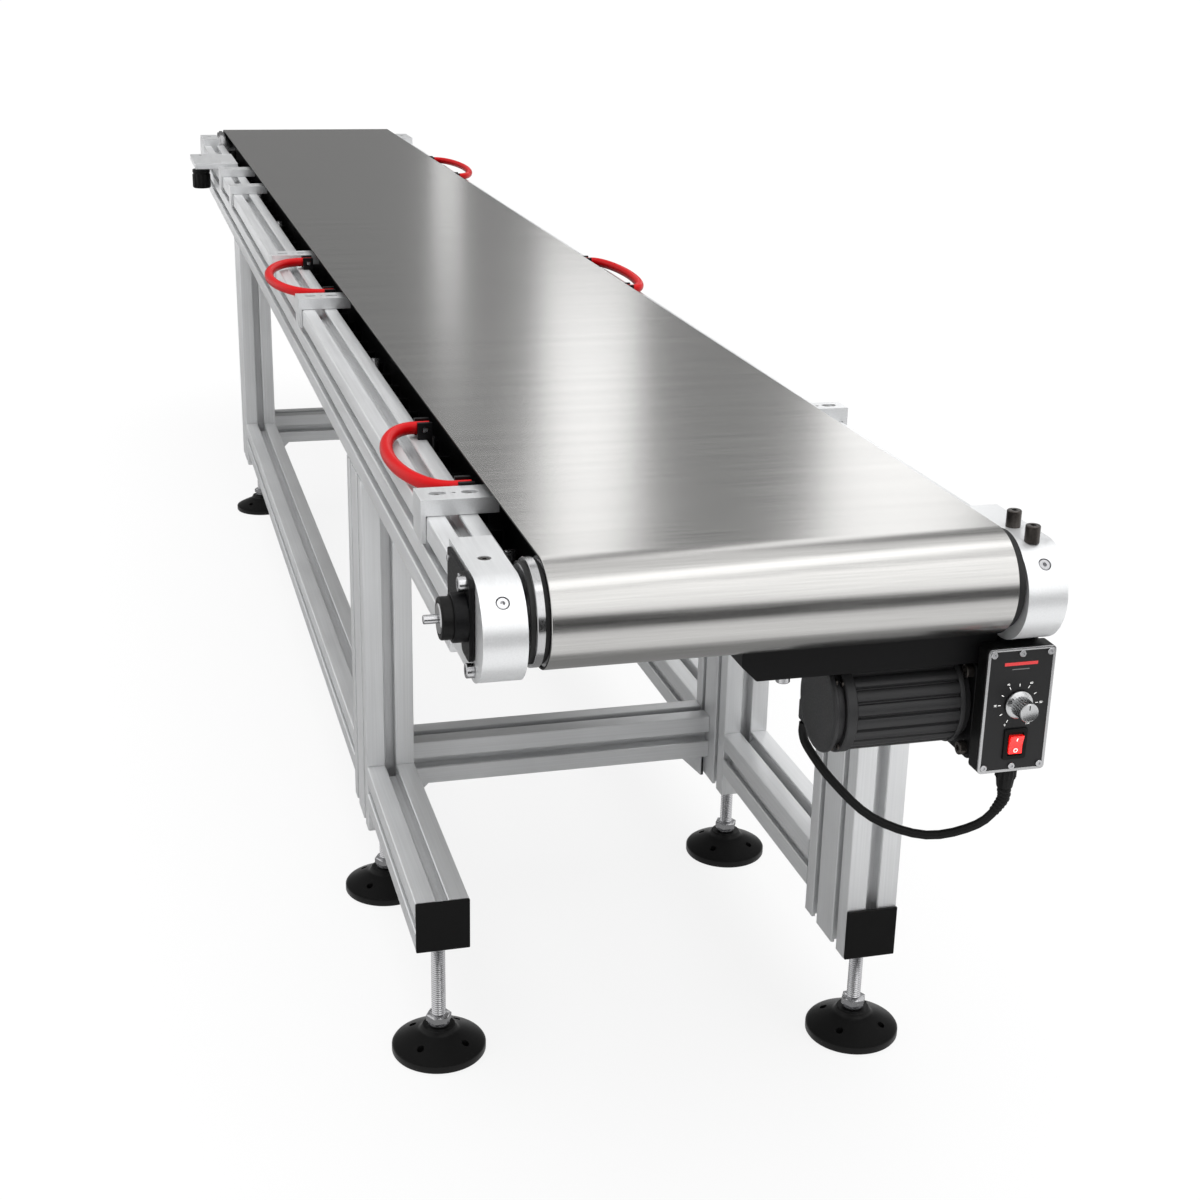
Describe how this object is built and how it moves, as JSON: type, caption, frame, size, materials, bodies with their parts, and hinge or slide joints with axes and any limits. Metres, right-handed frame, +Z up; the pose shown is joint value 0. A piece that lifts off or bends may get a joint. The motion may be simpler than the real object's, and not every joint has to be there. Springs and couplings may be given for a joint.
{
  "type": "belt conveyor section",
  "caption": "Flat belt conveyor section on an aluminium profile stand, with drive motor, speed control box, hinged red grab handles and levelling feet.",
  "frame": {"origin": "middle of the whole section's footprint, on the floor the feet stand on", "axes": "+Y along the belt from the drive end to the tail end, +X across it towards the side with the motor and the control box, +Z up"},
  "size_m": [0.4578, 2.7256, 0.5265],
  "materials": {
    "aluminium": "anodised, satin",
    "belt_grey": "finely brushed across the belt",
    "steel": "turned and plated",
    "black_steel": "satin black",
    "black_plastic": "moulded, matte",
    "black_rubber": "matte",
    "motor_grey": "dark satin paint",
    "red_grip": "smooth, slightly glossy"
  },
  "bodies": {
    "frame": {"rail_left": "aluminium", "rail_right": "aluminium", "end_block_drive_left": "aluminium", "end_block_drive_right": "aluminium", "end_block_tail_left": "aluminium", "end_block_tail_right": "aluminium", "drive_bearing_left": "black_steel", "bed_pan": "black_steel", "bracket_left_1": "aluminium", "bracket_left_2": "aluminium", "bracket_left_3": "aluminium", "bracket_left_arm": "aluminium", "bracket_right_1": "aluminium", "conveyor_belt": "belt_grey", "post_near_left": "aluminium", "post_near_right": "aluminium", "post_far_left": "aluminium", "post_far_right": "aluminium", "post_front_right": "aluminium", "long_beam_left": "aluminium", "long_beam_right": "aluminium", "foot_beam_left": "aluminium", "foot_beam_right": "aluminium", "crossbeam_near": "aluminium", "crossbeam_far": "aluminium", "foot_beam_cap": "black_plastic", "front_post_cap": "black_plastic", "motor_housing": "motor_grey", "motor_rear_cover": "motor_grey", "gear_head": "black_steel", "motor_bar": "black_steel", "drive_guard": "black_steel", "drive_belt": "black_rubber", "control_box": "black_plastic", "control_face": "black_plastic", "cable_gland": "black_plastic", "motor_lead": "black_rubber"},
    "drive_roller": {"drive_roller": "steel"},
    "tail_roller": {"tail_roller": "steel"},
    "motor_output": {"motor_pulley": "steel"},
    "motor_rotor": {"motor_rotor": "steel"},
    "clamp_knob": {"clamp_knob": "black_plastic"},
    "speed_knob": {"speed_knob": "steel"},
    "power_rocker": {"power_rocker": "red_grip"},
    "handle_left_near": {"handle_left_near": "red_grip"},
    "handle_left_far": {"handle_left_far": "red_grip"},
    "handle_right_near": {"handle_right_near": "red_grip"},
    "handle_right_far": {"handle_right_far": "red_grip"},
    "foot_front_left": {"foot_pad_front_left": "black_plastic", "foot_stud_front_left": "steel"},
    "foot_front_right": {"foot_pad_front_right": "black_plastic", "foot_stud_front_right": "steel"},
    "foot_near_left": {"foot_pad_near_left": "black_plastic", "foot_stud_near_left": "steel"},
    "foot_near_right": {"foot_pad_near_right": "black_plastic", "foot_stud_near_right": "steel"},
    "foot_far_left": {"foot_pad_far_left": "black_plastic", "foot_stud_far_left": "steel"},
    "foot_far_right": {"foot_pad_far_right": "black_plastic", "foot_stud_far_right": "steel"}
  },
  "joints": [
    {"name": "drive_roller_spin", "type": "hinge", "parent": "frame", "child": "drive_roller", "pos_m": [0, -1.325, 0.4887], "axis": [1, 0, 0], "continuous": true},
    {"name": "tail_roller_spin", "type": "hinge", "parent": "frame", "child": "tail_roller", "pos_m": [0, 1.325, 0.4887], "axis": [1, 0, 0], "continuous": true},
    {"name": "motor_output_spin", "type": "hinge", "parent": "frame", "child": "motor_output", "pos_m": [0, -1.291, 0.3907], "axis": [1, 0, 0], "continuous": true},
    {"name": "motor_rotor_spin", "type": "hinge", "parent": "frame", "child": "motor_rotor", "pos_m": [0, -1.291, 0.3907], "axis": [1, 0, 0], "continuous": true},
    {"name": "clamp_knob_turn", "type": "hinge", "parent": "frame", "child": "clamp_knob", "pos_m": [-0.21188, 1.01, 0.457], "axis": [0, 0, 1], "continuous": true},
    {"name": "speed_knob_turn", "type": "hinge", "parent": "frame", "child": "speed_knob", "pos_m": [0.18973, -1.3456, 0.402], "axis": [0, -1, 0], "range_deg": [-150, 150]},
    {"name": "power_rocker_tip", "type": "hinge", "parent": "frame", "child": "power_rocker", "pos_m": [0.19012, -1.3415, 0.3732], "axis": [-1, 0, 0], "range_deg": [0, 16]},
    {"name": "handle_left_near_swing", "type": "hinge", "parent": "frame", "child": "handle_left_near", "pos_m": [-0.15438, -1.033, 0.513], "axis": [0, 1, 0], "range_deg": [0, 90]},
    {"name": "handle_left_far_swing", "type": "hinge", "parent": "frame", "child": "handle_left_far", "pos_m": [-0.15438, -0.235, 0.513], "axis": [0, 1, 0], "range_deg": [0, 90]},
    {"name": "handle_right_near_swing", "type": "hinge", "parent": "frame", "child": "handle_right_near", "pos_m": [0.18363, -0.27, 0.513], "axis": [0, -1, 0], "range_deg": [0, 90]},
    {"name": "handle_right_far_swing", "type": "hinge", "parent": "frame", "child": "handle_right_far", "pos_m": [0.18363, 0.797, 0.513], "axis": [0, -1, 0], "range_deg": [0, 90]},
    {"name": "foot_front_left_height", "type": "slide", "parent": "frame", "child": "foot_front_left", "axis": [0, 0, 1], "range_m": [-0.02, 0]},
    {"name": "foot_front_right_height", "type": "slide", "parent": "frame", "child": "foot_front_right", "axis": [0, 0, 1], "range_m": [-0.02, 0]},
    {"name": "foot_near_left_height", "type": "slide", "parent": "frame", "child": "foot_near_left", "axis": [0, 0, 1], "range_m": [-0.02, 0]},
    {"name": "foot_near_right_height", "type": "slide", "parent": "frame", "child": "foot_near_right", "axis": [0, 0, 1], "range_m": [-0.02, 0]},
    {"name": "foot_far_left_height", "type": "slide", "parent": "frame", "child": "foot_far_left", "axis": [0, 0, 1], "range_m": [-0.02, 0]},
    {"name": "foot_far_right_height", "type": "slide", "parent": "frame", "child": "foot_far_right", "axis": [0, 0, 1], "range_m": [-0.02, 0]}
  ],
  "couplings": [
    {"joint": "tail_roller_spin", "follows": "drive_roller_spin", "ratio": 1},
    {"joint": "motor_output_spin", "follows": "drive_roller_spin", "ratio": 1.485},
    {"joint": "motor_rotor_spin", "follows": "drive_roller_spin", "ratio": 22.28}
  ]
}
